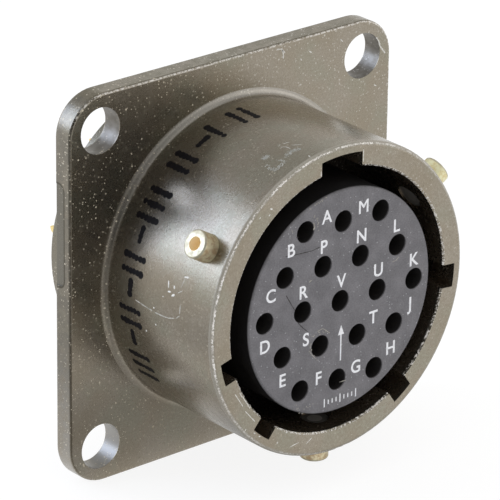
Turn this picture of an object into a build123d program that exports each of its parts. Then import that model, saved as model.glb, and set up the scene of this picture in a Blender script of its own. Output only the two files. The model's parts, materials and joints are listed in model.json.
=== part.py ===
from build123d import *
import os
from math import cos, isclose, radians, sin

# Box mount connector receptacle with a three-pin bayonet coupling, five keyways and nineteen
# sockets. The axis runs along Y through the middle of the flange. The mating end faces -Y, the
# solder cups face +Y, and the main keyway is at the top. The origin lies in the rear face of
# the flange, which sits on the panel. All sizes are in millimetres.

# Flange
flange_side = 28.2
flange_thickness = 1.57
flange_corner_radius = 2.9
flange_edge_radius = 0.18
bolt_spacing = 23.01
bolt_hole_radius = 1.64

# Front barrel, which the mating plug's coupling ring slides over
barrel_length = 11.1
barrel_wall = 1.7
barrel_root_radius = 0.5
rim_edge_radius = 0.3
rim_inner_edge = 0.1

# Cavity around the insert, which takes the plug's barrel and its keys
plug_gap = 1.38
cavity_depth = 8.6
keyway_height = 1.02
keyway_stop = 1.0
main_keyway_width = 3.54
minor_keyway_width = 1.7
minor_keyway_angles = [105, 140, 215, 265]

# Bayonet pins through the barrel wall
pin_radius = 0.99
pin_height = 1.24
pin_setback = 2.25
pin_recess = 0.1
pin_angles = [60, 180, 300]
pin_drill_radius = 0.49
pin_drill_depth = 0.9
pin_edge = 0.12
pin_fit = 0.01

# Rear barrel, and the shoulder that the insert is pushed against from behind
rear_barrel_length = 5.2
rear_barrel_wall = 1.15
rear_bore_edge = 0.2
shoulder_thickness = 1.0
shoulder_clearance = 0.1

# Insulator: a front insert, a wider retention disc behind the shoulder, and a rear insert
insert_wall = 0.646
insert_proud = 0.1
insert_face_edge = 0.12
disc_step = 1.2
disc_clearance = 0.08
retention_disc_thickness = 3.6
seat_gap = 0.02
insert_turn = -1.26

# Index rib in the rear bore and the notch in the two discs that it fits
rib_width = 1.5
rib_height = 0.5
rib_clearance = 0.05

# Retaining ring in its groove behind the rear insert
ring_thickness = 0.7
ring_width = 1.25
ring_gap_width = 3.0
groove_depth = 0.5
groove_clearance = 0.05
rear_lip_length = 0.53

# Contact pattern, rows from the top down, as the cavities are lettered
contact_pitch = 3.302
contact_rows = ["bam", "cpnl", "drvuk", "estj", "fgh"]

# Socket contact, whose two tines grip a pin
contact_setback = 1.6
socket_bore_radius = 0.52
socket_bore_depth = 6.2
tine_wall = 0.15
tine_slot_width = 0.24
tine_slot_length = 5.0
shank_step = 0.19
contact_clearance = 0.02

# Hood pressed over the tines, from just inside the face to the retention disc
hood_wall = 0.07
hood_lead = 0.12
hood_fit = 0.01
hood_end_gap = 0.1

# Solder cup at the rear end of the contact
cup_projection = 4.0
cup_wall = 0.26
cup_well_depth = 3.2
cup_mouth_length = 2.3
cup_mouth_radius = 0.5

# Shallow mark left by the die on the left edge of the flange
mark_low = 0.66
mark_high = 8.0
mark_width = 0.9
mark_depth = 0.12
mark_corner_radius = 0.5

# Radii of the contacts, from the bore of the socket outwards
tine_radius = socket_bore_radius + tine_wall
hood_inner_radius = tine_radius + hood_fit
hood_outer_radius = hood_inner_radius + hood_wall
cavity_hole_radius = hood_outer_radius + contact_clearance
disc_hole_radius = tine_radius + contact_clearance
shank_radius = tine_radius + shank_step
shank_hole_radius = shank_radius + contact_clearance
cup_well_radius = shank_radius - cup_wall

# Radii of the inserts and the shell, from the contact pattern outwards
row_pitch = contact_pitch * sin(radians(60))
pattern_radius = contact_pitch * (max(len(row) for row in contact_rows) - 1) / 2
insert_face_radius = pattern_radius + cavity_hole_radius + insert_wall
disc_radius = insert_face_radius + disc_step
cavity_radius = insert_face_radius + plug_gap
keyway_radius = cavity_radius + keyway_height
barrel_radius = cavity_radius + barrel_wall
shoulder_radius = insert_face_radius + shoulder_clearance
rear_bore_radius = disc_radius + disc_clearance
rear_barrel_radius = rear_bore_radius + rear_barrel_wall
groove_radius = rear_bore_radius + groove_depth
ring_outer_radius = groove_radius - groove_clearance
rib_tip_radius = rear_bore_radius - rib_height

# Distances forward of the panel face, which is at zero
rim = flange_thickness + barrel_length
cavity_floor = rim - cavity_depth
shoulder_rear = cavity_floor - shoulder_thickness
insert_face = rim + insert_proud
disc_front = shoulder_rear - seat_gap
disc_rear = disc_front - retention_disc_thickness
front_insert_rear = disc_front + seat_gap
rear_insert_front = disc_rear - seat_gap
shell_rear = -rear_barrel_length
groove_rear = shell_rear + rear_lip_length
ring_rear = groove_rear + groove_clearance
ring_front = ring_rear + ring_thickness
groove_front = ring_front + groove_clearance
rear_insert_rear = ring_front + seat_gap
hood_front = insert_face - contact_setback
hood_rear = front_insert_rear + hood_end_gap
tine_front = hood_front - hood_lead
cup_end = shell_rear - cup_projection

# Seen from the mating end: X to the right, Z up, offsets count forward
front_view = Plane.XZ


def section_at(x, z):
    """Plane through a line parallel to the axis: local X is the radius, local Y is forward."""
    return Plane(origin=(x, 0, z), x_dir=(1, 0, 0), z_dir=(0, 0, -1))


def axis_at(x, z):
    """Line parallel to the connector's axis, pointing forward."""
    return Axis((x, 0, z), (0, -1, 0))


def circles(part, radius, forward):
    """Edges of a part that are circles of this radius, this far forward of the panel face."""
    return part.edges().filter_by(GeomType.CIRCLE).filter_by(
        lambda edge: isclose(edge.radius, radius, abs_tol=1e-6)
        and isclose(-edge.arc_center.Y, forward, abs_tol=1e-6)
    )


def pin_plane(angle):
    """Plane on the axis at the pins' depth, facing out along a pin, clockwise from the top."""
    outward = (sin(radians(angle)), 0, cos(radians(angle)))
    return Plane(origin=(0, pin_setback - rim, 0), x_dir=(0, -1, 0), z_dir=outward)


def contact_places():
    """Letter of each cavity and its centre on the insert, with the insert's small turn."""
    turn_cos = cos(radians(insert_turn))
    turn_sin = sin(radians(insert_turn))
    places = {}
    for row, letters in enumerate(contact_rows):
        z = ((len(contact_rows) - 1) / 2 - row) * row_pitch
        for column, letter in enumerate(letters):
            x = (column - (len(letters) - 1) / 2) * contact_pitch
            places[letter] = (x * turn_cos - z * turn_sin, x * turn_sin + z * turn_cos)
    return places


def save(piece, name):
    """Label a finished piece and write its file."""
    piece.part.label = name
    export_step(piece.part, f"parts/{name}.step")


os.makedirs("parts", exist_ok=True)

with BuildPart() as shell:
    # Flange with its rounded outline
    with BuildSketch(front_view):
        RectangleRounded(flange_side, flange_side, flange_corner_radius)
    extrude(amount=flange_thickness)
    flange_faces = shell.faces().sort_by(Axis.Y)
    fillet(flange_faces[0].edges() + flange_faces[-1].edges(), flange_edge_radius)
    with BuildSketch(front_view):
        with GridLocations(bolt_spacing, bolt_spacing, 2, 2):
            Circle(bolt_hole_radius)
    extrude(amount=flange_thickness, mode=Mode.SUBTRACT)

    # Solid barrels in front of and behind the flange, bored out further on
    with BuildSketch(section_at(0, 0)):
        with BuildLine():
            Polyline(
                (0, shell_rear),
                (rear_barrel_radius, shell_rear),
                (rear_barrel_radius, flange_thickness / 2),
                (barrel_radius, flange_thickness / 2),
                (barrel_radius, rim),
                (0, rim),
                close=True,
            )
        make_face()
    revolve(axis=axis_at(0, 0))
    fillet(circles(shell, barrel_radius, flange_thickness), barrel_root_radius)
    fillet(circles(shell, barrel_radius, rim), rim_edge_radius)

    # Cavity, shoulder, rear bore and ring groove
    with BuildSketch(section_at(0, 0)):
        with BuildLine():
            Polyline(
                (0, shell_rear),
                (rear_bore_radius + rear_bore_edge, shell_rear),
                (rear_bore_radius, shell_rear + rear_bore_edge),
                (rear_bore_radius, groove_rear),
                (groove_radius, groove_rear),
                (groove_radius, groove_front),
                (rear_bore_radius, groove_front),
                (rear_bore_radius, shoulder_rear),
                (shoulder_radius, shoulder_rear),
                (shoulder_radius, cavity_floor),
                (cavity_radius, cavity_floor),
                (cavity_radius, rim - rim_inner_edge),
                (cavity_radius + rim_inner_edge, rim),
                (0, rim),
                close=True,
            )
        make_face()
    revolve(axis=axis_at(0, 0), mode=Mode.SUBTRACT)

    # Keyways, the wide one at the top and the others counted anticlockwise from it
    with BuildSketch(front_view.offset(rim)):
        Rectangle(main_keyway_width, barrel_radius, align=(Align.CENTER, Align.MIN))
        for angle in minor_keyway_angles:
            Rectangle(
                minor_keyway_width,
                barrel_radius,
                rotation=angle,
                align=(Align.CENTER, Align.MIN),
            )
        Circle(keyway_radius, mode=Mode.INTERSECT)
        Circle(cavity_radius - plug_gap / 2, mode=Mode.SUBTRACT)
    extrude(amount=keyway_stop - cavity_depth, mode=Mode.SUBTRACT)

    # Holes for the bayonet pins
    with BuildSketch(*[pin_plane(angle) for angle in pin_angles]):
        Circle(pin_radius + pin_fit)
    extrude(amount=barrel_radius + pin_height, mode=Mode.SUBTRACT)

    # Index rib under the bottom of the rear bore
    with BuildSketch(front_view.offset(rear_insert_rear)):
        Rectangle(
            rib_width,
            rear_bore_radius + rear_barrel_wall / 2,
            rotation=180 + insert_turn,
            align=(Align.CENTER, Align.MIN),
        )
        Circle(rib_tip_radius, mode=Mode.SUBTRACT)
    extrude(amount=shoulder_rear - rear_insert_rear)

    # Die mark on the left edge of the flange
    with BuildSketch(Plane(origin=(-flange_side / 2, 0, 0), x_dir=(0, 0, -1), z_dir=(-1, 0, 0))):
        with Locations((-(mark_low + mark_high) / 2, 0)):
            Rectangle(mark_high - mark_low, 2 * mark_width)
        fillet(vertices(), mark_corner_radius)
    extrude(amount=-mark_depth, mode=Mode.SUBTRACT)

save(shell, "shell")

for number, angle in enumerate(pin_angles, start=1):
    with BuildPart() as bayonet_pin:
        with BuildSketch(pin_plane(angle).offset(cavity_radius + pin_recess)):
            Circle(pin_radius)
        extrude(amount=barrel_wall - pin_recess + pin_height)
        outward = Axis(pin_plane(angle).origin, pin_plane(angle).z_dir)
        fillet(bayonet_pin.faces().sort_by(outward)[-1].edges(), pin_edge)
        with BuildSketch(pin_plane(angle).offset(barrel_radius + pin_height)):
            Circle(pin_drill_radius)
        extrude(amount=-pin_drill_depth, mode=Mode.SUBTRACT)
    save(bayonet_pin, f"bayonet_pin_{number}")

with BuildPart() as front_insert:
    with BuildSketch(front_view.offset(front_insert_rear)):
        Circle(insert_face_radius)
    extrude(amount=insert_face - front_insert_rear)
    chamfer(circles(front_insert, insert_face_radius, insert_face), insert_face_edge)
    with BuildSketch(front_view.offset(insert_face)):
        with Locations(*contact_places().values()):
            Circle(cavity_hole_radius)
    extrude(amount=front_insert_rear - insert_face, mode=Mode.SUBTRACT)

save(front_insert, "front_insert")


def make_disc(front, rear, hole_radius):
    """Disc in the rear bore, with a notch for the index rib and a hole for each contact."""
    with BuildPart() as disc:
        with BuildSketch(front_view.offset(rear)):
            Circle(disc_radius)
            Rectangle(
                rib_width + 2 * rib_clearance,
                rear_bore_radius,
                rotation=180 + insert_turn,
                align=(Align.CENTER, Align.MIN),
                mode=Mode.SUBTRACT,
            )
            Circle(rib_tip_radius - rib_clearance)
            with Locations(*contact_places().values()):
                Circle(hole_radius, mode=Mode.SUBTRACT)
        extrude(amount=front - rear)
    return disc


save(make_disc(disc_front, disc_rear, disc_hole_radius), "retention_disc")
save(make_disc(rear_insert_front, rear_insert_rear, shank_hole_radius), "rear_insert")

with BuildPart() as retaining_ring:
    with BuildSketch(front_view.offset(ring_rear)):
        Circle(ring_outer_radius)
        Circle(ring_outer_radius - ring_width, mode=Mode.SUBTRACT)
        Rectangle(
            ring_gap_width,
            groove_radius,
            rotation=180,
            align=(Align.CENTER, Align.MIN),
            mode=Mode.SUBTRACT,
        )
    extrude(amount=ring_thickness)

save(retaining_ring, "retaining_ring")


def make_contact(x, z):
    """Socket contact with two tines in front and a solder cup, open to the top, behind."""
    cup_bottom = cup_end + cup_well_depth
    bore_bottom = tine_front - socket_bore_depth
    with BuildPart() as contact:
        with BuildSketch(section_at(x, z)):
            with BuildLine():
                Polyline(
                    (0, cup_bottom),
                    (cup_well_radius, cup_bottom),
                    (cup_well_radius, cup_end),
                    (shank_radius, cup_end),
                    (shank_radius, rear_insert_front),
                    (tine_radius, rear_insert_front),
                    (tine_radius, tine_front),
                    (socket_bore_radius, tine_front),
                    (socket_bore_radius, bore_bottom),
                    (0, bore_bottom),
                    close=True,
                )
            make_face()
        revolve(axis=axis_at(x, z))
        with BuildSketch(Plane(origin=(x, -tine_front, z), x_dir=(1, 0, 0), z_dir=(0, -1, 0))):
            Rectangle(tine_slot_width, 2 * hood_outer_radius)
        extrude(amount=-tine_slot_length, mode=Mode.SUBTRACT)
        with BuildSketch(Plane(origin=(x, 0, z), x_dir=(0, -1, 0), z_dir=(-1, 0, 0))):
            with Locations((cup_end + cup_mouth_length, 0)):
                Rectangle(2 * cup_mouth_length, 2 * shank_radius, align=(Align.MAX, Align.MIN))
            fillet(vertices().group_by(Axis.X)[-1].sort_by(Axis.Y)[0], cup_mouth_radius)
        extrude(amount=shank_radius, both=True, mode=Mode.SUBTRACT)
    return contact


def make_hood(x, z):
    """Thin sleeve over the tines, a little longer than them in front to guide the pin."""
    with BuildPart() as hood:
        with BuildSketch(Plane(origin=(x, -hood_front, z), x_dir=(1, 0, 0), z_dir=(0, -1, 0))):
            Circle(hood_outer_radius)
            Circle(hood_inner_radius, mode=Mode.SUBTRACT)
        extrude(amount=hood_rear - hood_front)
    return hood


for letter, (x, z) in contact_places().items():
    save(make_contact(x, z), f"contact_{letter}")
    save(make_hood(x, z), f"contact_hood_{letter}")
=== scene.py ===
import json
import random
from math import cos, pi, radians, sin

import bmesh
import bpy
from mathutils import Matrix, Vector


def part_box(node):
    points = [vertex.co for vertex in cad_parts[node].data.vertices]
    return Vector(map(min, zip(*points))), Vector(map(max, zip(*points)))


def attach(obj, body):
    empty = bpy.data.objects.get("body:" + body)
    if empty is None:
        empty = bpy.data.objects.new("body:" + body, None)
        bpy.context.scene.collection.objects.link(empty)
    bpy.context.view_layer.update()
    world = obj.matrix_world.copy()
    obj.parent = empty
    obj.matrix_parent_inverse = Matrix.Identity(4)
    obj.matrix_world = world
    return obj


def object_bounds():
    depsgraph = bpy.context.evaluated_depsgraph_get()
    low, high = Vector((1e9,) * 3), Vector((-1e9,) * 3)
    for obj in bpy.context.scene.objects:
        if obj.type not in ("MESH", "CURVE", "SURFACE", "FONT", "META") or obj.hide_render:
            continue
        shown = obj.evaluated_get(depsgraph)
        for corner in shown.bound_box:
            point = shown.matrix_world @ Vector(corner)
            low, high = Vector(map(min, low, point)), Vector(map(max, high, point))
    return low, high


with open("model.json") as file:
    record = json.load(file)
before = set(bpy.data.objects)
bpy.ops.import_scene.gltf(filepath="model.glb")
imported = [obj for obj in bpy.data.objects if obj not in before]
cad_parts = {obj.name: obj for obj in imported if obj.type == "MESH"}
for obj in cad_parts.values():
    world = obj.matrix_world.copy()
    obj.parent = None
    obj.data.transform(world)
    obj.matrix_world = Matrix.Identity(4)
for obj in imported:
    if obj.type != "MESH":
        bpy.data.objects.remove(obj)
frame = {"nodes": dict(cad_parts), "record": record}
cad_low, cad_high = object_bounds()

# The connector stands on the lower edge of its flange. Its axis runs along Y and the mating end faces
# -Y. The scene is in metres, and the sizes below are in millimetres. What lies on a CAD piece takes its
# place from that piece.
MM = 0.001

shell_low, shell_high = (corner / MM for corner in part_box("shell"))
insert_low, insert_high = (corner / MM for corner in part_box("front_insert"))
RIM = shell_low.y
FACE = insert_low.y
INSERT_RADIUS = insert_high.x
FLANGE_HALF = shell_high.x
FLANGE_THICKNESS = 1.57
FLANGE_CORNER = 2.9
HOLE_OFFSET = 23.01 / 2
HOLE_RADIUS = 1.64
BARREL_RADIUS = 11.1
CAVITY_RADIUS = 9.4
KEYWAY_RADIUS = 10.42
PIN_SETBACK = 2.25
PIN_TIP = 12.34
PIN_DRILL_RADIUS = 0.49
# Shallow die mark on the flange's left side: half its breadth, half its height and its corners, then the
# height of its middle and its depth
DIE_MARK = (0.9, 3.67, 0.5)
DIE_MARK_MIDDLE = 4.33
DIE_MARK_DEPTH = 0.12

# Camera at the photograph's viewing angle, in degrees and millimetres
CAMERA_AZIMUTH = -40.38
CAMERA_ELEVATION = 22.97
CAMERA_ROLL = 0.79
CAMERA_DISTANCE = 293.44
CAMERA_RIGHT = 2.2
CAMERA_DOWN = 0.52
CAMERA_LENS = 307.14


def add_camera():
    """Long lens that looks down at the connector from the front left."""
    azimuth, elevation, roll = map(radians, (CAMERA_AZIMUTH, CAMERA_ELEVATION, CAMERA_ROLL))
    back = Vector((sin(azimuth) * cos(elevation), -cos(azimuth) * cos(elevation), sin(elevation)))
    level = Vector((0, 0, 1)).cross(back).normalized()
    upright = back.cross(level)
    right = level * cos(roll) + upright * sin(roll)
    up = upright * cos(roll) - level * sin(roll)
    place = back * CAMERA_DISTANCE + right * CAMERA_RIGHT - up * CAMERA_DOWN
    data = bpy.data.cameras.new("camera")
    data.lens = CAMERA_LENS
    camera = bpy.data.objects.new("camera", data)
    bpy.context.scene.collection.objects.link(camera)
    turn = Matrix((right, up, back)).transposed().to_4x4()
    camera.matrix_world = Matrix.Translation(place * MM) @ turn
    bpy.context.scene.camera = camera


class Shader:
    """Node tree of one material or of the world, with short calls for the nodes that they share."""

    def __init__(self, owner):
        owner.use_nodes = True
        self.tree = owner.node_tree

    def node(self, kind, inputs=None, **settings):
        """New node with these settings, and its inputs by name or number."""
        made = self.tree.nodes.new(kind)
        for key, value in settings.items():
            setattr(made, key, value)
        for key, value in (inputs or {}).items():
            self.feed(made.inputs[key], value)
        return made

    def feed(self, socket, value):
        """Links an output to a socket, or sets the socket to a plain value."""
        if isinstance(value, bpy.types.NodeSocket):
            self.tree.links.new(value, socket)
        else:
            socket.default_value = value

    def math(self, operation, first, second=0.0, clamp=False):
        made = self.node("ShaderNodeMath", {0: first, 1: second}, operation=operation, use_clamp=clamp)
        return made.outputs[0]

    def product(self, *factors):
        result = factors[0]
        for factor in factors[1:]:
            result = self.math("MULTIPLY", result, factor)
        return result

    def ramp(self, value, low, high, start=0.0, end=1.0):
        """Smooth step: start below low, end above high."""
        inputs = {"Value": value, "From Min": low, "From Max": high, "To Min": start, "To Max": end}
        made = self.node("ShaderNodeMapRange", inputs, interpolation_type="SMOOTHSTEP")
        return made.outputs["Result"]

    def band(self, value, low, high, soft):
        """One between low and high, nothing outside, with soft shoulders."""
        rise = self.ramp(value, low - soft, low)
        fall = self.ramp(value, high, high + soft, 1.0, 0.0)
        return self.product(rise, fall)

    def length(self, first, second):
        squares = self.math("ADD", self.product(first, first), self.product(second, second))
        return self.math("SQRT", squares)

    def past_edge(self, across, above, half_across, half_above, corner):
        """Distance past the edge of a rectangle with round corners, less than nought inside it."""
        out_across = self.math("SUBTRACT", self.math("ABSOLUTE", across), half_across - corner)
        out_above = self.math("SUBTRACT", self.math("ABSOLUTE", above), half_above - corner)
        beyond = self.length(self.math("MAXIMUM", out_across, 0), self.math("MAXIMUM", out_above, 0))
        within = self.math("MINIMUM", self.math("MAXIMUM", out_across, out_above), 0)
        return self.math("SUBTRACT", self.math("ADD", beyond, within), corner)

    def place(self):
        """Place on the object in millimetres."""
        metres = self.node("ShaderNodeTexCoord").outputs["Object"]
        made = self.node("ShaderNodeVectorMath", {0: metres, "Scale": 1 / MM}, operation="SCALE")
        return made.outputs[0]

    def parts(self, vector):
        """The X, Y and Z of a vector."""
        return tuple(self.node("ShaderNodeSeparateXYZ", {0: vector}).outputs)

    def noise(self, vector, scale, detail=3.0, roughness=0.5):
        inputs = {"Vector": vector, "Scale": scale, "Detail": detail, "Roughness": roughness}
        return self.node("ShaderNodeTexNoise", inputs).outputs["Fac"]

    def specks(self, vector, scale, radius, share):
        """Soft round specks in this share of the cells of a grid. Scale is cells in a millimetre."""
        made = self.node("ShaderNodeTexVoronoi", {"Vector": vector, "Scale": scale})
        core = 0.6 * radius
        near = self.ramp(made.outputs["Distance"], core * scale, radius * scale, 1.0, 0.0)
        picker = self.node("ShaderNodeSeparateColor", {0: made.outputs["Color"]})
        chosen = self.math("GREATER_THAN", picker.outputs[0], 1 - share)
        return self.product(near, chosen)

    def mix(self, factor, first, second):
        """Mixed colours. The sockets for colours come after those for numbers and vectors."""
        return self.node("ShaderNodeMix", {0: factor, 6: first, 7: second}, data_type="RGBA").outputs[2]

    def mix_value(self, factor, first, second):
        """Mixed numbers."""
        return self.node("ShaderNodeMix", {0: factor, 2: first, 3: second}, data_type="FLOAT").outputs[0]

    def bump(self, height, distance):
        """Normal of a surface on which a height of one is this many millimetres."""
        made = self.node("ShaderNodeBump", {"Distance": distance * MM, "Height": height})
        return made.outputs["Normal"]


def material(name):
    """New material, its shader calls and its surface node."""
    made = bpy.data.materials.new(name)
    shader = Shader(made)
    return made, shader, made.node_tree.nodes["Principled BSDF"]


# Colours of the shell. A pair has one colour where the mix begins and one where it ends.
OLIVE = ((0.335, 0.293, 0.228, 1), (0.37, 0.333, 0.277, 1))
OLIVE_GREEN = (0.335, 0.325, 0.26, 1)
OLIVE_GRAIN = (0.25, 0.213, 0.16, 1)
CAVITY_WALL_AND_PAINTED_SHADE = ((0.4, 0.31, 0.22, 1), (0.04, 0.034, 0.027, 1))
HOLE_WALL = ((0.19, 0.174, 0.15, 1), (0.25, 0.236, 0.212, 1))
LOWER_HOLE_WALL_PAINTED_LIGHT = (0.34, 0.33, 0.31, 1)
FLANGE_SIDE_PAINTED_SHADE = ((0.34, 0.32, 0.285, 1), (0.23, 0.212, 0.177, 1))
FLANGE_TOP_PAINTED_SHADE = (0.2, 0.178, 0.125, 1)
MARK_FLOOR = (0.19, 0.183, 0.158, 1)
MARK_LIP_SHADE = (0.07, 0.062, 0.043, 1)
REAR_BARREL = (0.2, 0.195, 0.165, 1)
RIM_EDGE = (0.4, 0.37, 0.31, 1)
BARREL_ROOT_HIGHLIGHT = (0.55, 0.53, 0.5, 1)
EDGE_DARK_REFLECTION = (0.12, 0.1, 0.07, 1)
BARE_CHIP = (1.0, 0.96, 0.9, 1)
DARK_PIT = (0.14, 0.12, 0.09, 1)
SHELL_DUST = ((0.62, 0.55, 0.42, 1), (0.9, 0.87, 0.8, 1))


def olive_plating():
    """Olive cadmium plating of the shell: dull metal with worn edges, pits and dust, and painted shade and
    highlights.
    """
    made, shader, surface = material("olive_plating")
    vector = shader.place()
    x, y, z = shader.parts(vector)
    radius = shader.length(x, z)
    depth = shader.math("SUBTRACT", y, RIM)

    clouds = shader.noise(vector, 0.22, 3.0)
    grain = shader.noise(vector, 7.0, 5.0, 0.7)
    plating = shader.mix(shader.ramp(clouds, 0.35, 0.65), *OLIVE)
    green = shader.ramp(shader.noise(vector, 0.33, 2.0), 0.45, 0.65, 0.0, 0.7)
    plating = shader.mix(green, plating, OLIVE_GREEN)
    plating = shader.mix(shader.ramp(grain, 0.35, 0.65, 0.0, 0.6), plating, OLIVE_GRAIN)

    # The cavity around the insert is brown in front, with painted shade that darkens it to nearly black
    # deep inside
    in_cavity = shader.product(
        shader.ramp(depth, 0.1, 0.5),
        shader.ramp(radius, KEYWAY_RADIUS + 0.1, KEYWAY_RADIUS + 0.3, 1.0, 0.0),
        shader.ramp(y, -3.0, -2.5, 1.0, 0.0),
    )
    cavity_wall_and_shade = shader.mix(shader.ramp(depth, 1.5, 5.5), *CAVITY_WALL_AND_PAINTED_SHADE)
    plating = shader.mix(in_cavity, plating, cavity_wall_and_shade)

    # The walls of the flange holes are grey, and paler in the lower two: painted light
    from_hole = shader.length(
        shader.math("SUBTRACT", shader.math("ABSOLUTE", x), HOLE_OFFSET),
        shader.math("SUBTRACT", shader.math("ABSOLUTE", z), HOLE_OFFSET),
    )
    in_hole = shader.product(
        shader.ramp(from_hole, HOLE_RADIUS + 0.01, HOLE_RADIUS + 0.03, 1.0, 0.0),
        shader.band(y, 0.05 - FLANGE_THICKNESS, -0.05, 0.02),
    )
    wall_tone = shader.ramp(shader.noise(vector, 1.6, 4.0), 0.35, 0.65)
    wall_colour = shader.mix(wall_tone, *HOLE_WALL)
    wall_colour = shader.mix(shader.ramp(z, -9.0, -8.0, 1.0, 0.0), wall_colour, LOWER_HOLE_WALL_PAINTED_LIGHT)
    plating = shader.mix(in_hole, plating, wall_colour)

    # The sides of the flange carry painted shade: darker towards the top, most of all on the upper one
    past_edge = shader.past_edge(x, z, FLANGE_HALF, FLANGE_HALF, FLANGE_CORNER)
    on_sides = shader.ramp(past_edge, -0.04, -0.01)
    mottled = shader.ramp(shader.noise(vector, 1.2, 4.0, 0.6), 0.4, 0.6, 0.5, 1.0)
    side_shade_colour = shader.mix(shader.ramp(z, -9.0, -2.0), *FLANGE_SIDE_PAINTED_SHADE)
    side_shade_colour = shader.mix(shader.ramp(z, 13.7, 14.0), side_shade_colour, FLANGE_TOP_PAINTED_SHADE)
    plating = shader.mix(shader.product(on_sides, mottled), plating, side_shade_colour)

    # The die mark is dark, with painted shade as a darker outline along its lip
    past_mark = shader.past_edge(y, shader.math("SUBTRACT", z, DIE_MARK_MIDDLE), *DIE_MARK)
    mark_floor = DIE_MARK_DEPTH - FLANGE_HALF
    in_mark = shader.product(
        shader.ramp(x, mark_floor + 0.02, mark_floor + 0.05, 1.0, 0.0),
        shader.ramp(past_mark, 0.0, 0.05, 0.8, 0.0),
    )
    plating = shader.mix(in_mark, plating, MARK_FLOOR)
    mark_lip_shade = shader.product(
        shader.ramp(x, 0.02 - FLANGE_HALF, 0.05 - FLANGE_HALF, 0.75, 0.0),
        shader.band(past_mark, 0.0, 0.09, 0.07),
    )
    plating = shader.mix(mark_lip_shade, plating, MARK_LIP_SHADE)

    # The rear barrel is darker, the round edge of the rim is duller, and the root of the front barrel has a
    # painted highlight at the top
    on_rear_barrel = shader.ramp(y, 2.0, 3.0, 0.0, 0.5)
    plating = shader.mix(on_rear_barrel, plating, REAR_BARREL)
    rim_edge = shader.product(
        shader.ramp(radius, BARREL_RADIUS - 0.28, BARREL_RADIUS - 0.22),
        shader.ramp(depth, 0.22, 0.35, 1.0, 0.0),
    )
    plating = shader.mix(shader.product(rim_edge, 0.5), plating, RIM_EDGE)
    root = shader.product(
        shader.band(radius, BARREL_RADIUS + 0.05, BARREL_RADIUS + 0.45, 0.05),
        shader.ramp(y, -2.1, -1.9),
        shader.ramp(z, 2.0, 9.0),
    )
    plating = shader.mix(shader.product(root, 0.4), plating, BARREL_ROOT_HIGHLIGHT)

    # A painted dark reflection runs along the bevel at the left edge of the flange. Bare chips lie on the
    # rim, most of all at the upper left, and on the edge of the flange, most of all at the top
    chip_noise = shader.noise(vector, 6.0, 4.0, 0.65)
    front = shader.ramp(depth, 0.12, 0.2, 1.0, 0.0)
    ragged = shader.math("ADD", radius, shader.ramp(chip_noise, 0.3, 0.7, -0.06, 0.06))
    outer_edge = shader.product(shader.band(ragged, BARREL_RADIUS - 0.17, BARREL_RADIUS - 0.1, 0.03), front)
    inner_edge = shader.product(shader.band(radius, CAVITY_RADIUS, CAVITY_RADIUS + 0.1, 0.04), front)
    flange_edge = shader.product(
        shader.ramp(past_edge, -0.18, -0.1),
        shader.ramp(y, -FLANGE_THICKNESS + 0.02, -FLANGE_THICKNESS + 0.12, 1.0, 0.0),
    )
    # Painted dark reflection of the bevel along the flange's left edge
    edge_dark_reflection = shader.product(flange_edge, shader.ramp(x, -13.7, -13.0, 0.8, 0.0))
    plating = shader.mix(edge_dark_reflection, plating, EDGE_DARK_REFLECTION)
    wear = shader.math("ADD", shader.ramp(z, -14, 14, -0.07, 0.07), chip_noise)
    uneven = shader.product(
        shader.ramp(shader.noise(vector, 1.3, 3.0), 0.36, 0.55, 0.35, 1.0),
        shader.ramp(x, 0.0, 8.0, 1.0, 0.3),
        shader.ramp(z, -6.0, -2.0, 0.45, 1.0),
    )
    chips = shader.math(
        "ADD",
        shader.product(outer_edge, shader.ramp(chip_noise, 0.42, 0.5), uneven),
        shader.product(inner_edge, shader.ramp(chip_noise, 0.5, 0.56, 0.0, 0.8)),
        clamp=True,
    )
    worn = shader.product(shader.ramp(wear, 0.5, 0.62), shader.ramp(x, -13.9, -13.4, 0.1, 0.7))
    chips = shader.math("ADD", chips, shader.product(flange_edge, worn), clamp=True)
    plating = shader.mix(chips, plating, BARE_CHIP)

    # Pale dust in three sizes, and dark pits
    dust_patches = shader.ramp(shader.noise(vector, 0.5, 2.0), 0.3, 0.6, 0.3, 1.0)
    fine = shader.specks(vector, 4.0, 0.055, 0.7)
    middling = shader.specks(vector, 2.2, 0.08, 0.7)
    coarse = shader.specks(vector, 1.1, 0.1, 0.4)
    dust = shader.math("ADD", shader.math("ADD", fine, middling), coarse, clamp=True)
    on_left = shader.ramp(x, -9.0, 6.0, 1.0, 0.5)
    near_flange = shader.ramp(y, -FLANGE_THICKNESS - 0.6, -FLANGE_THICKNESS - 0.2, 0.4, 1.0)
    dust = shader.product(dust, dust_patches, on_left, near_flange)
    pits = shader.product(shader.specks(vector, 2.7, 0.06, 0.25), dust_patches, 0.5)
    dust_colour = shader.mix(shader.ramp(x, -6.0, 6.0), *SHELL_DUST)
    colour = shader.mix(dust, shader.mix(pits, plating, DARK_PIT), dust_colour)
    shader.feed(surface.inputs["Base Color"], colour)

    # Dust, chips, dull places and the painted highlight at the root are less metallic, and chips and hole
    # walls are rougher
    dull = shader.math("MAXIMUM", shader.product(rim_edge, 0.85), shader.product(root, 0.3))
    bare = shader.math("MAXIMUM", shader.math("MAXIMUM", dust, chips), dull)
    shader.feed(surface.inputs["Metallic"], shader.mix_value(bare, 0.93, 0.0))
    rough = shader.ramp(shader.noise(vector, 1.3, 4.0), 0.3, 0.7, 0.25, 0.29)
    rougher = shader.math("MAXIMUM", chips, in_hole)
    shader.feed(surface.inputs["Roughness"], shader.mix_value(rougher, rough, 0.4))
    height = shader.math("ADD", shader.product(grain, 0.6), shader.product(chip_noise, chips))
    shader.feed(surface.inputs["Normal"], shader.bump(height, 0.012))
    return made


# Colours of the contacts, the hoods and the ring, in pairs as above
CONTACT_GOLD = ((0.95, 0.76, 0.34, 1), (0.85, 0.64, 0.26, 1))
DRAWN_STEEL = ((0.45, 0.45, 0.46, 1), (0.62, 0.62, 0.62, 1))

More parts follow.
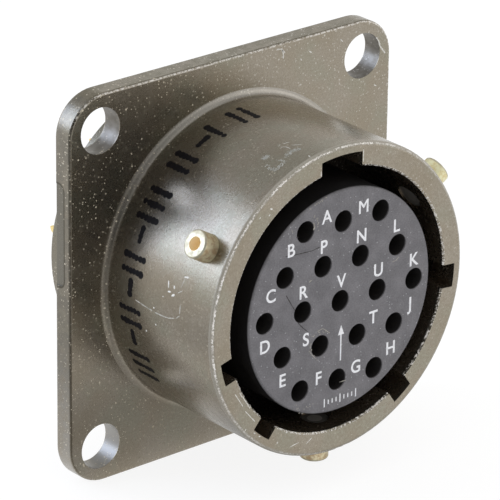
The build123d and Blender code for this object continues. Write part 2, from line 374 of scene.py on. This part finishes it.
# Colours of the bayonet pins. A pair has the stained colour and the clean one.
PIN_SIDE = ((0.62, 0.45, 0.26, 1), (0.9, 0.8, 0.54, 1))
PIN_SIDE_RIGHT_PAINTED_LIGHT = ((0.85, 0.72, 0.38, 1), (1.0, 0.96, 0.62, 1))
PIN_END = ((0.5, 0.44, 0.3, 1), (0.64, 0.6, 0.45, 1))
PIN_DRILLED = (1.0, 0.84, 0.56, 1)
PIN_INNER_END_SHADE = (0.3, 0.28, 0.25, 1)

# Colours of the insulators. The second pair is painted shade: in the holes and on the discs behind,
# and darkest at the insert's side.
MOULDED_FACE = ((0.125, 0.12, 0.128, 1), (0.25, 0.241, 0.252, 1))
MOULDED_PAINTED_SHADE = ((0.02, 0.018, 0.018, 1), (0.008, 0.007, 0.0075, 1))
FACE_DUST = (0.46, 0.46, 0.47, 1)


def gold_plating():
    """Thin gold plating, a little uneven."""
    made, shader, surface = material("contact_gold")
    vector = shader.place()
    clouds = shader.ramp(shader.noise(vector, 1.5, 4.0), 0.35, 0.7)
    shader.feed(surface.inputs["Base Color"], shader.mix(clouds, *CONTACT_GOLD))
    surface.inputs["Metallic"].default_value = 1.0
    shader.feed(surface.inputs["Roughness"], shader.ramp(clouds, 0.0, 1.0, 0.22, 0.36))
    shader.feed(surface.inputs["Normal"], shader.bump(shader.noise(vector, 6.0, 3.0), 0.01))
    return made


def pin_brass():
    """Brass of the bayonet pins: dull at the end, tan in the drilled hole, stained along the side."""
    made, shader, surface = material("pin_brass")
    vector = shader.place()
    x, y, z = shader.parts(vector)
    radius = shader.length(x, z)

    # The pins stand a third of a turn apart, so the sine of three times the angle is nought on each axis
    sine = shader.math("DIVIDE", x, radius)
    cube = shader.product(sine, sine, sine)
    triple = shader.math("SUBTRACT", shader.product(sine, 3.0), shader.product(cube, 4.0))
    across = shader.product(triple, radius, 1 / 3)
    along = shader.math("SUBTRACT", y, RIM + PIN_SETBACK)
    from_axis = shader.length(across, along)

    # The pin on the right is paler and less metallic: painted light for the brighter light that falls on it
    stains = shader.ramp(shader.noise(vector, 3.0, 4.0, 0.6), 0.35, 0.6)
    right_pin_lit = shader.ramp(x, 4.0, 8.0)
    side = shader.mix(right_pin_lit, shader.mix(stains, *PIN_SIDE), shader.mix(stains, *PIN_SIDE_RIGHT_PAINTED_LIGHT))
    end = shader.product(
        shader.ramp(radius, PIN_TIP - 0.16, PIN_TIP - 0.1),
        shader.ramp(from_axis, PIN_DRILL_RADIUS, PIN_DRILL_RADIUS + 0.04),
    )
    drilled = shader.product(
        shader.ramp(radius, PIN_TIP - 0.1, PIN_TIP - 0.04, 1.0, 0.0),
        shader.ramp(from_axis, PIN_DRILL_RADIUS + 0.01, PIN_DRILL_RADIUS + 0.05, 1.0, 0.0),
    )
    # The inner ends of the pins, deep in the cavity, are darker: painted shade
    inner_end = shader.ramp(radius, CAVITY_RADIUS + 0.2, CAVITY_RADIUS + 0.4, 1.0, 0.0)
    colour = shader.mix(end, side, shader.mix(stains, *PIN_END))
    colour = shader.mix(drilled, colour, PIN_DRILLED)
    colour = shader.mix(inner_end, colour, PIN_INNER_END_SHADE)
    shader.feed(surface.inputs["Base Color"], colour)
    metal = shader.ramp(right_pin_lit, 0.0, 1.0, 0.6, 0.25)
    shader.feed(surface.inputs["Metallic"], shader.mix_value(drilled, metal, 0.1))
    dull = shader.mix_value(drilled, shader.ramp(stains, 0.0, 1.0, 0.42, 0.3), 0.7)
    shader.feed(surface.inputs["Roughness"], shader.mix_value(inner_end, dull, 0.15))
    shader.feed(surface.inputs["Normal"], shader.bump(shader.noise(vector, 6.0, 3.0), 0.01))
    return made


def dark_moulding():
    """Dark moulded insulator: a mottled, dusty face, and painted shade, nearly black, in the holes and
    behind.
    """
    made, shader, surface = material("dark_moulding")
    vector = shader.place()
    x, y, z = shader.parts(vector)
    clouds = shader.ramp(shader.noise(vector, 0.8, 4.0), 0.3, 0.75)
    grain = shader.ramp(shader.noise(vector, 9.0, 5.0, 0.75), 0.35, 0.65)
    # Painted shade: nearly black inside the holes and on the discs behind, darkest at the insert's side
    inside = shader.ramp(y, FACE + 0.03, FACE + 0.16)
    mottled = shader.product(shader.math("ADD", clouds, grain), 0.5)
    at_side = shader.ramp(shader.length(x, z), INSERT_RADIUS - 0.1, INSERT_RADIUS - 0.02)
    shade = shader.mix(at_side, *MOULDED_PAINTED_SHADE)
    colour = shader.mix(inside, shader.mix(mottled, *MOULDED_FACE), shade)
    fine = shader.specks(vector, 4.0, 0.045, 0.4)
    coarse = shader.specks(vector, 1.3, 0.06, 0.3)
    outside = shader.math("SUBTRACT", 1.0, inside)
    dust = shader.product(shader.math("ADD", fine, coarse, clamp=True), outside)
    shader.feed(surface.inputs["Base Color"], shader.mix(dust, colour, FACE_DUST))
    shader.feed(surface.inputs["Roughness"], shader.ramp(clouds, 0.0, 1.0, 0.62, 0.78))
    shader.feed(surface.inputs["Normal"], shader.bump(shader.noise(vector, 7.0, 4.0), 0.015))
    return made


def steel():
    """Steel of the hoods and the retaining ring, finely mottled."""
    made, shader, surface = material("steel")
    grain = shader.noise(shader.place(), 5.0, 5.0, 0.7)
    shader.feed(surface.inputs["Base Color"], shader.mix(grain, *DRAWN_STEEL))
    surface.inputs["Metallic"].default_value = 1.0
    shader.feed(surface.inputs["Roughness"], shader.ramp(grain, 0.3, 0.7, 0.25, 0.4))
    return made


def ink(name, base, thin):
    """Ink, or another thin layer of one colour, with patches of a second one."""
    made, shader, surface = material(name)
    patches = shader.ramp(shader.noise(shader.place(), 4.0, 3.0), 0.45, 0.75)
    shader.feed(surface.inputs["Base Color"], shader.mix(patches, base, thin))
    surface.inputs["Roughness"].default_value = 0.6
    surface.inputs["Specular IOR Level"].default_value = 0.25
    return made


# Printing on the insert's face: letters of the cavities, an arrow towards the main keyway and a scale
PRINT_THICKNESS = 0.008
LETTER_HEIGHT = 0.94
LETTER_WIDTH_SHARE = 0.96
LETTER_BOLDNESS = 0.018
ARROW_X = 0.13
ARROW_FOOT = -4.4
ARROW_NECK = -2.5
ARROW_TIP = -1.8
ARROW_WIDTH = 0.11
ARROW_HEAD_HALF = 0.27
SCALE_X = 0.17
SCALE_Z = -7.17
SCALE_TICKS = 9
SCALE_STEP = 0.35
TICK_WIDTH = 0.09
SHORT_TICK = 0.32
LONG_TICK = 0.62
LONG_TICK_EVERY = 4
# Centre of each letter, to the right of and above the middle of its hole
LETTER_OFFSETS = {
    "PNRVU": (0.06, 1.43),
    "K": (0.0, 1.43),
    "L": (-0.08, 1.43),
    "BC": (-1.21, -0.99),
    "DE": (0.05, -1.68),
    "A": (-1.45, 0.7),
    "M": (-1.53, 0.68),
    "S": (-1.26, 0.82),
    "T": (1.42, 0.89),
    "J": (1.37, 0.91),
    "FG": (1.65, 0.48),
    "H": (1.48, 1.07),
}


def new_piece(name, mesh_data, finish):
    """Mesh as a piece on the connector, with a material."""
    piece = bpy.data.objects.new(name, mesh_data)
    bpy.context.scene.collection.objects.link(piece)
    mesh_data.materials.append(finish)
    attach(piece, "root")


def letter_mesh(letter):
    """Letter about one unit thick, in the X-Y plane with its middle at the origin, and its height."""
    curve = bpy.data.curves.new("letter", "FONT")
    curve.body = letter
    curve.extrude = 0.5
    curve.bevel_depth = LETTER_BOLDNESS
    curve.bevel_resolution = 0
    text = bpy.data.objects.new("letter", curve)
    mesh_data = bpy.data.meshes.new_from_object(text)
    bpy.data.objects.remove(text)
    bpy.data.curves.remove(curve)
    low = Vector([min(vertex.co[axis] for vertex in mesh_data.vertices) for axis in range(3)])
    high = Vector([max(vertex.co[axis] for vertex in mesh_data.vertices) for axis in range(3)])
    mesh_data.transform(Matrix.Translation(-(low + high) / 2))
    return mesh_data, high.y - low.y


def onto_face(x, z, scale_x=1.0, scale_y=1.0):
    """Transform that lays a shape from the X-Y plane on the insert's face, in metres."""
    place = Matrix.Translation(Vector((x, FACE, z)) * MM)
    stand = Matrix.Rotation(pi / 2, 4, "X")
    size = Matrix.Diagonal((scale_x * MM, scale_y * MM, PRINT_THICKNESS * MM, 1))
    return place @ stand @ size


def add_prism(shape, outline):
    """Closed prism over an outline in the X-Y plane, one unit thick."""
    rings = [[shape.verts.new((x, y, side)) for x, y in outline] for side in (-0.5, 0.5)]
    shape.faces.new(rings[0][::-1])
    shape.faces.new(rings[1])
    count = len(outline)
    for index in range(count):
        after = (index + 1) % count
        shape.faces.new((rings[0][index], rings[0][after], rings[1][after], rings[1][index]))


def rectangle(x, y, width, height):
    """Outline of a rectangle around its middle."""
    corners = ((-0.5, -0.5), (0.5, -0.5), (0.5, 0.5), (-0.5, 0.5))
    return [(x + width * across, y + height * above) for across, above in corners]


def print_face(white):
    """All the white print on the insert as one piece."""
    print_shape = bmesh.new()
    capital, capital_height = letter_mesh("H")
    bpy.data.meshes.remove(capital)
    tall = LETTER_HEIGHT / capital_height
    for letters, (across, above) in LETTER_OFFSETS.items():
        for letter in letters:
            low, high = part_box(f"contact_{letter.lower()}")
            hole = (low + high) / 2 / MM
            mesh_data = letter_mesh(letter)[0]
            mesh_data.transform(onto_face(hole.x + across, hole.z + above, tall * LETTER_WIDTH_SHARE, tall))
            print_shape.from_mesh(mesh_data)
            bpy.data.meshes.remove(mesh_data)
    marks = bmesh.new()
    shaft_middle = (ARROW_FOOT + ARROW_NECK) / 2
    add_prism(marks, rectangle(ARROW_X, shaft_middle, ARROW_WIDTH, ARROW_NECK - ARROW_FOOT))
    left_barb = (ARROW_X - ARROW_HEAD_HALF, ARROW_NECK)
    right_barb = (ARROW_X + ARROW_HEAD_HALF, ARROW_NECK)
    add_prism(marks, [left_barb, right_barb, (ARROW_X, ARROW_TIP)])
    for tick in range(SCALE_TICKS):
        x = SCALE_X + (tick - (SCALE_TICKS - 1) / 2) * SCALE_STEP
        height = SHORT_TICK if tick % LONG_TICK_EVERY else LONG_TICK
        add_prism(marks, rectangle(x, SCALE_Z, TICK_WIDTH, height))
    marks.transform(onto_face(0, 0))
    marks_data = bpy.data.meshes.new("marks")
    marks.to_mesh(marks_data)
    marks.free()
    print_shape.from_mesh(marks_data)
    bpy.data.meshes.remove(marks_data)
    mesh_data = bpy.data.meshes.new("face_print")
    print_shape.to_mesh(mesh_data)
    print_shape.free()
    new_piece("face_print", mesh_data, white)


# Ink on the barrel: tally marks and dashes of small dots. The start and the step are in degrees around
# the barrel, and the band is a distance behind the rim. Heights are from the barrel's surface.
INK_PATTERN = "III-II-II-III II-I II"
INK_START = -122
INK_STEP = 1.95
INK_BAND = (7.6, 9.4)
INK_DOT_RADIUS = 0.24
INK_DOT_SIZES = (0.85, 1.15)
INK_DOT_SIDES = 10
INK_DOT_TOP = 0.01
INK_DOT_EDGE = 0.004
INK_DOT_BOTTOM = -0.02
# How far a dot strays around the barrel, in degrees, and along it
INK_STRAY_TURN = 0.12
INK_STRAY_DEPTH = 0.03
# Dots in a tally mark and in a dash, and how many steps the marks take
TALLY_DOTS = 6
DASH_DOTS = 4
TALLY_STEPS = 2.6
DASH_LEAD_STEPS = 0.4
DASH_DOT_STEPS = 0.75
DASH_TAIL_STEPS = 1.2


def on_barrel(across, behind, above):
    """Place on the barrel: distances in millimetres around it from the top and behind the rim."""
    turn = across / BARREL_RADIUS
    out = BARREL_RADIUS + above
    return Vector((sin(turn) * out, RIM + behind, cos(turn) * out)) * MM


def ink_barrel(black):
    """Dots of ink along the barrel, clockwise from the top seen from the front."""
    draw = random.Random(14)
    shape = bmesh.new()
    low, high = INK_BAND

    def dot(angle, depth):
        size = INK_DOT_RADIUS * draw.uniform(*INK_DOT_SIZES)
        across = radians(angle + draw.uniform(-INK_STRAY_TURN, INK_STRAY_TURN)) * BARREL_RADIUS
        behind = depth + draw.uniform(-INK_STRAY_DEPTH, INK_STRAY_DEPTH)
        top = shape.verts.new(on_barrel(across, behind, INK_DOT_TOP))
        under = shape.verts.new(on_barrel(across, behind, INK_DOT_BOTTOM))
        ring = []
        for side in range(INK_DOT_SIDES):
            turn = 2 * pi * side / INK_DOT_SIDES
            edge = on_barrel(across + size * cos(turn), behind + size * sin(turn), INK_DOT_EDGE)
            ring.append(shape.verts.new(edge))
        for side in range(INK_DOT_SIDES):
            after = (side + 1) % INK_DOT_SIDES
            shape.faces.new((ring[side], ring[after], top))
            shape.faces.new((ring[after], ring[side], under))

    angle = INK_START
    for mark in INK_PATTERN:
        if mark == "I":
            for row in range(TALLY_DOTS):
                dot(angle, low + (high - low) * row / (TALLY_DOTS - 1))
            angle += TALLY_STEPS * INK_STEP
        elif mark == "-":
            angle += DASH_LEAD_STEPS * INK_STEP
            for _ in range(DASH_DOTS):
                dot(angle, (low + high) / 2)
                angle += DASH_DOT_STEPS * INK_STEP
            angle += DASH_TAIL_STEPS * INK_STEP
        else:
            angle += TALLY_STEPS * INK_STEP
    mesh_data = bpy.data.meshes.new("barrel_ink")
    bmesh.ops.recalc_face_normals(shape, faces=shape.faces)
    shape.to_mesh(mesh_data)
    shape.free()
    new_piece("barrel_ink", mesh_data, black)


# Wear is laid on as flat marks, which rise a little above the surface and reach a little below it. Lines
# are made in short steps, and chalk and scuffs of small grains scattered about a path.
MARK_RISE = 0.004
MARK_DEPTH = 0.012
MARK_STEP = 0.1
LINE_RAGGEDNESS = (0.6, 1.3)
LINE_END_SHARE = 0.5
GRAIN_SIDES = 6
GRAIN_RAGGEDNESS = (0.4, 1.2)
GRAIN_SPREAD_ALONG = 0.06
CHALK_SPREAD = 0.09
CHALK_GRAIN = 0.045
CHALK_COUNT = 100
SCUFF_SPREAD = 0.06
SCUFF_GRAIN = 0.05
SCUFF_COUNT = 14

# Paths of the marks, by the width of the line. A place on the barrel is the angle clockwise from the top,
# seen from the front, and the distance behind the rim. Elsewhere it is X and Z.
BARREL_SCRATCHES = {
    0.05: [
        [(-72.6, 3.3), (-76.1, 3.5)],
        [(-77.0, 3.3), (-78.5, 3.7)],
        [(-11.8, 2.6), (-9.2, 2.1)],
        [(-15.3, 2.9), (-14.2, 2.9), (-13.4, 2.7), (-13.4, 2.3)],
    ],
    0.065: [
        [(-88.2, 7.9), (-88.8, 6.9), (-89.1, 6.1)],
        [(-89.2, 5.8), (-89.1, 4.9), (-88.8, 4.4), (-87.8, 3.8)],
        [(-87.4, 3.6), (-86.1, 3.3)],
        [(-85.4, 3.3), (-82.1, 3.3)],
        [(-14.7, 3.2), (-13.5, 3.3)],
        [(-12.8, 3.2), (-10.7, 3.0)],
        [(-12.8, 0.6), (-13.3, 0.3)],
    ],
}
BARREL_NICKS = {
    0.13: [
        [(-75.9, 4.8), (-78.3, 4.7)],
        [(-76.7, 4.2), (-77.8, 4.1)],
        [(-79.6, 4.7), (-79.3, 4.4)],
        [(-80.6, 4.3), (-79.6, 4.0)],
        [(-72.3, 3.4), (-71.8, 3.0)],
        [(-82.0, 5.1), (-82.3, 5.1)],
        [(-87.6, 6.0), (-87.8, 5.9)],
        [(-93.6, 5.8), (-93.8, 5.7)],
        [(-98.0, 6.9), (-98.2, 6.8)],
    ],
}
BARREL_CHALK = [
    [(-22.4, 3.0), (-20.8, 3.0)],
    [(-24.3, 2.3), (-24.8, 1.8), (-24.5, 1.4), (-23.3, 1.3), (-20.4, 1.5), (-19.9, 1.8), (-20.7, 1.9)],
    [(-17.5, 1.9), (-15.6, 1.9), (-13.2, 2.0), (-11.9, 1.7)],
]
FACE_SCRATCHES = {
    0.06: [
        [(-4.9, 4.5), (-4.1, 4.4), (-2.6, 4.3), (-1.9, 4.4)],
        [(-4.8, 1.7), (-4.5, 1.2), (-4.2, 0.7), (-4.0, 0.4)],
        [(-3.7, -0.6), (-3.25, -1.1), (-2.8, -1.5)],
        [(-4.0, 5.6), (-3.8, 5.6)],
    ],
}
FACE_SCUFFS = {
    0.05: [
        [(-4.4, 6.3), (-4.3, 6.0)],
        [(-2.0, -1.7), (-1.5, -1.6), (-1.0, -2.0)],
        [(-2.6, -2.4), (-2.55, -3.1), (-2.1, -3.65)],
        [(4.55, 1.6), (4.95, 1.63), (5.2, 1.85)],
        [(0.1, -6.0), (0.7, -6.0)],
    ],
    0.1: [
        [(-2.8, 2.1), (-2.55, 2.2)],
        [(-2.5, 6.3), (-2.4, 5.95), (-2.5, 5.75)],
    ],
}
FACE_GRAINS = [
    [(-2.5, 6.7), (-2.1, 6.3), (-2.1, 5.7)],
    [(-2.4, -1.9), (-1.6, -1.8), (-1.0, -2.0)],
    [(-2.6, -2.4), (-2.5, -3.2), (-1.9, -3.8)],
    [(-3.9, -6.5), (-3.4, -7.2), (-2.3, -6.9)],
    [(-2.8, 7.4), (-1.7, 7.7), (-0.8, 7.8)],
]
FLANGE_SCRATCHES = {
    0.1: [
        [(3.7, 13.75), (4.15, 13.68), (4.3, 13.3), (4.29, 12.95)],
        [(4.19, 13.6), (4.45, 13.35)],
        [(6.63, 12.96), (6.84, 12.8)],
        [(5.85, 12.6), (5.98, 12.43)],
        [(12.76, 12.58), (13.0, 12.25), (13.13, 11.85), (13.62, 11.22)],
        [(9.45, 13.19), (9.67, 12.97)],
        [(12.66, 9.1), (12.88, 8.96)],
    ],
}
RIM_SCRATCHES = {
    0.07: [
        [(1.85, 10.4), (1.85, 9.5)],
        [(-1.83, 9.75), (-1.84, 9.35)],
    ],
    0.05: [
        [(-9.0, -4.3), (-8.3, -5.4)],
        [(-8.6, -4.3), (-8.4, -4.7)],
        [(-8.4, -4.6), (-7.7, -5.7)],
        [(-8.1, -5.8), (-7.25, -6.8)],
        [(-2.7, -9.8), (-2.2, -9.5)],
        [(-4.15, -9.6), (-3.35, -9.5)],
    ],
    0.11: [
        [(-8.1, -7.2), (-8.0, -7.15)],
        [(-7.35, -7.6), (-7.2, -7.7)],
        [(-6.9, -8.0), (-6.75, -8.05)],
        [(-5.3, -9.0), (-5.2, -8.9)],
        [(-4.5, -8.4), (-4.4, -8.45)],
        [(-6.3, 7.7), (-6.2, 7.8)],
        [(-6.2, 8.2), (-6.0, 8.1)],
        [(-7.1, 7.7), (-7.0, 7.8)],
    ],
}


def on_rim(x, z, above):
    """Place on the front of the rim."""
    return Vector((x, RIM - above, z)) * MM


def on_flange(x, z, above):
    """Place on the front of the flange."""
    return Vector((x, -FLANGE_THICKNESS - above, z)) * MM


def on_face(x, z, above):
    """Place on the insert's face."""
    return Vector((x, FACE - above, z)) * MM


def unrolled(path):
    """Path on the barrel with its angles as distances around it."""
    return [(radians(angle) * BARREL_RADIUS, behind) for angle, behind in path]


class Marks:
    """Thin flat marks that follow a surface, gathered into one piece."""

    def __init__(self, surface, seed):
        self.surface = surface
        self.draw = random.Random(seed)
        self.shape = bmesh.new()

    def walk(self, path):
        """Places in short steps along a path, each with the direction to its side."""
        places = []
        for start, end in zip(path, path[1:]):
            start, end = Vector(start), Vector(end)
            ahead = (end - start).normalized()
            count = max(2, round((end - start).length / MARK_STEP))
            side = Vector((-ahead.y, ahead.x))
            places += [(start.lerp(end, step / count), side) for step in range(count)]
        return places + [(end, side)]

    def line(self, path, width):
        """Ragged line along a path, thinner at its ends."""
        places = self.walk(path)
        rings = []
        for index, (place, side) in enumerate(places):
            from_end = min(index, len(places) - 1 - index)
            share = 1 if from_end else LINE_END_SHARE
            half = width / 2 * share * self.draw.uniform(*LINE_RAGGEDNESS)
            rings.append([])
            for out, above in (
                (-half, MARK_RISE),
                (half, MARK_RISE),
                (half, -MARK_DEPTH),
                (-half, -MARK_DEPTH),
            ):
                corner = self.surface(*(place + side * out), above)
                rings[-1].append(self.shape.verts.new(corner))
        for near, far in zip(rings, rings[1:]):
            for corner in range(4):
                after = (corner + 1) % 4
                self.shape.faces.new((near[corner], near[after], far[after], far[corner]))
        self.shape.faces.new(rings[0][::-1])
        self.shape.faces.new(rings[-1])

    def lines(self, widths, as_drawn=list):
        """Lines along all the paths of a table."""
        for width, paths in widths.items():
            for path in paths:
                self.line(as_drawn(path), width)

    def grains(self, path, spread, size, count):
        """Small grains scattered about a path."""
        places = self.walk(path)
        for _ in range(count):
            place, side = self.draw.choice(places)
            centre = place + side * self.draw.gauss(0, spread)
            centre += Vector((side.y, -side.x)) * self.draw.gauss(0, GRAIN_SPREAD_ALONG)
            outline = []
            for corner in range(GRAIN_SIDES):
                turn = 2 * pi * corner / GRAIN_SIDES
                out = Vector((cos(turn), sin(turn))) * size * self.draw.uniform(*GRAIN_RAGGEDNESS)
                outline.append(centre + out)
            top = [self.shape.verts.new(self.surface(*corner, MARK_RISE)) for corner in outline]
            under = [self.shape.verts.new(self.surface(*corner, -MARK_DEPTH)) for corner in outline]
            self.shape.faces.new(top)
            self.shape.faces.new(under[::-1])
            for corner in range(GRAIN_SIDES):
                after = (corner + 1) % GRAIN_SIDES
                self.shape.faces.new((top[after], top[corner], under[corner], under[after]))

    def finish(self, name, slot_name, finish):
        """All the marks so far as one piece."""
        bmesh.ops.recalc_face_normals(self.shape, faces=self.shape.faces)
        mesh_data = bpy.data.meshes.new(name)
        self.shape.to_mesh(mesh_data)
        self.shape.free()
        new_piece(name, mesh_data, finish)


def add_wear(bare, bright, smear, chalk, dark):
    """Scratches, chalky smears and grains, at their places on the object."""
    marks = Marks(on_barrel, seed=3)
    marks.lines(BARREL_SCRATCHES, unrolled)
    marks.finish("barrel_scratches", "shell", bare)

    marks = Marks(on_barrel, seed=4)
    marks.lines(BARREL_NICKS, unrolled)
    marks.finish("barrel_nicks", "shell", bright)

    marks = Marks(on_barrel, seed=5)
    for path in BARREL_CHALK:
        marks.grains(unrolled(path), CHALK_SPREAD, CHALK_GRAIN, CHALK_COUNT)
    marks.finish("barrel_chalk", "shell", smear)

    marks = Marks(on_flange, seed=6)
    marks.lines(FLANGE_SCRATCHES)
    marks.finish("flange_scratches", "shell", bright)

    marks = Marks(on_rim, seed=7)
    marks.lines(RIM_SCRATCHES)
    marks.finish("rim_scratches", "shell", bright)

    marks = Marks(on_face, seed=9)
    marks.lines(FACE_SCUFFS)
    for path in FACE_GRAINS:
        marks.grains(path, SCUFF_SPREAD, SCUFF_GRAIN, SCUFF_COUNT)
    marks.finish("face_scuffs", "front_insert", chalk)

    marks = Marks(on_face, seed=11)
    marks.lines(FACE_SCRATCHES)
    marks.finish("face_scratches", "front_insert", dark)


# Studio: an even light, white surroundings, and a dark side in front of the connector, to the left. The
# directions lead to the dark side of the surroundings and of the floor.
EVEN_LIGHT = 0.8
DARK_SIDE = (-0.66, -0.74, 0.14)
DARK_FLOOR = (-0.89, -0.45)
# Half the floor's side in metres, how it glows and reflects where the camera sees it, and its own white
FLOOR_HALF = 1.5
FLOOR_GLOW = 0.86
FLOOR_FAINT = (0.2, 0.2, 0.2, 1)
FLOOR_WHITE = (0.85, 0.85, 0.85, 1)


def shows_background(shader):
    """Two factors: one for camera rays, and one for those and the rays seen in metal or glass."""
    rays = shader.node("ShaderNodeLightPath").outputs
    mirrored = shader.math("ADD", rays["Is Glossy Ray"], rays["Is Transmission Ray"], clamp=True)
    return rays["Is Camera Ray"], shader.math("ADD", rays["Is Camera Ray"], mirrored, clamp=True)


def add_world():
    """White surroundings that light evenly. Only metal and glass show their dark side."""
    world = bpy.data.worlds.new("studio")
    bpy.context.scene.world = world
    shader = Shader(world)
    direction = shader.node("ShaderNodeTexCoord").outputs["Generated"]
    aligned = shader.node("ShaderNodeVectorMath", {0: direction, 1: DARK_SIDE}, operation="DOT_PRODUCT")

    # Nearly black on the dark side, and grey overhead
    surroundings = shader.product(
        shader.ramp(aligned.outputs["Value"], 0.15, 0.95, 1.0, 0.03),
        shader.ramp(shader.parts(direction)[2], 0.15, 0.75, 1.0, 0.5),
    )
    camera_ray, background_ray = shows_background(shader)
    seen = shader.mix_value(camera_ray, surroundings, 1.0)
    background = world.node_tree.nodes["Background"]
    shader.feed(background.inputs["Strength"], shader.mix_value(background_ray, EVEN_LIGHT, seen))
    shader.feed(background.inputs["Color"], (1, 1, 1, 1))


def add_floor():
    """White floor under the flange's lower edge. It shows white and keeps a shadow."""
    mesh_data = bpy.data.meshes.new("floor")
    outline = rectangle(0, 0, 2 * FLOOR_HALF, 2 * FLOOR_HALF)
    mesh_data.from_pydata([(x, y, cad_low.z) for x, y in outline], [], [(0, 1, 2, 3)])
    floor = bpy.data.objects.new("floor", mesh_data)
    bpy.context.scene.collection.objects.link(floor)
    made, shader, plain_surface = material("white_floor")
    made.node_tree.nodes.remove(plain_surface)

    # Metal shows it darker close by, in the connector's own shade, and on the studio's dark side
    x, y, _ = shader.parts(shader.place())
    distance = shader.length(x, y)
    along_dark = shader.math("ADD", shader.product(x, DARK_FLOOR[0]), shader.product(y, DARK_FLOOR[1]))
    towards_dark = shader.math("DIVIDE", along_dark, shader.math("ADD", distance, 1.0))
    under = shader.ramp(y, -13.0, -5.0, 0.37, 0.54)
    close_by = shader.mix_value(shader.band(y, -12, -5, 6), 1.0, under)
    far_off = shader.ramp(towards_dark, 0.1, 1.1, 1.0, 0.22)
    shade = shader.mix_value(shader.ramp(distance, 13, 34), close_by, far_off)

    # The camera sees a glow with a faint shadow, metal sees the glow alone, and the rest sees plain white
    camera_ray, background_ray = shows_background(shader)
    strength = shader.mix_value(camera_ray, shade, FLOOR_GLOW)
    glow = shader.node("ShaderNodeEmission", {"Strength": strength}).outputs[0]
    faint = shader.node("ShaderNodeBsdfDiffuse", {"Color": FLOOR_FAINT}).outputs[0]
    shadowed = shader.node("ShaderNodeAddShader", {0: faint, 1: glow}).outputs[0]
    seen = shader.node("ShaderNodeMixShader", {0: camera_ray, 1: glow, 2: shadowed}).outputs[0]
    white = shader.node("ShaderNodeBsdfDiffuse", {"Color": FLOOR_WHITE}).outputs[0]
    surface = shader.node("ShaderNodeMixShader", {0: background_ray, 1: white, 2: seen}).outputs[0]
    shader.feed(made.node_tree.nodes["Material Output"].inputs["Surface"], surface)
    mesh_data.materials.append(made)


def add_softbox(name, direction, distance, side, radiance, colour):
    """Square soft light that faces the connector, in metres. At a radiance of one it looks white."""
    data = bpy.data.lights.new(name, "AREA")
    data.shape = "SQUARE"
    data.size = side
    data.energy = radiance * pi * side * side
    data.color = colour
    light = bpy.data.objects.new(name, data)
    bpy.context.scene.collection.objects.link(light)
    towards = Vector(direction).normalized()
    light.matrix_world = (
        Matrix.Translation(towards * distance) @ towards.to_track_quat("Z", "Y").to_matrix().to_4x4()
    )


bpy.context.scene.view_settings.view_transform = "Standard"
add_camera()
add_world()
add_floor()
add_softbox(
    "window",
    direction=(-0.68, 0.59, 0.44),
    distance=0.5,
    side=0.35,
    radiance=2.9,
    colour=(0.62, 0.74, 1.0),
)
add_softbox(
    "front_right_light",
    direction=(0.8, -0.45, 0.4),
    distance=0.6,
    side=0.4,
    radiance=0.5,
    colour=(1.0, 0.99, 0.97),
)

moulding = dark_moulding()
drawn_steel = steel()
finishes = {
    "shell": olive_plating(),
    "bayonet_pin": pin_brass(),
    "contact": gold_plating(),
    "contact_hood": drawn_steel,
    "front_insert": moulding,
    "retention_disc": moulding,
    "rear_insert": moulding,
    "retaining_ring": drawn_steel,
}
for part in frame["record"]["subparts"]:
    node = frame["nodes"][part["node"]]
    node.data.materials.clear()
    node.data.materials.append(finishes[part["material_slot"]])

print_face(ink("white_ink", (0.97, 0.97, 0.99, 1), (0.78, 0.78, 0.8, 1)))
ink_barrel(ink("black_ink", (0.003, 0.002, 0.003, 1), (0.01, 0.007, 0.009, 1)))
add_wear(
    ink("bare_metal", (0.54, 0.52, 0.46, 1), (0.33, 0.31, 0.26, 1)),
    ink("bright_metal", (0.86, 0.84, 0.78, 1), (0.7, 0.68, 0.62, 1)),
    ink("smear", (0.43, 0.425, 0.38, 1), (0.34, 0.335, 0.295, 1)),
    ink("chalk", (0.42, 0.4, 0.35, 1), (0.3, 0.285, 0.25, 1)),
    ink("scratched", (0.05, 0.045, 0.045, 1), (0.08, 0.07, 0.065, 1)),
)
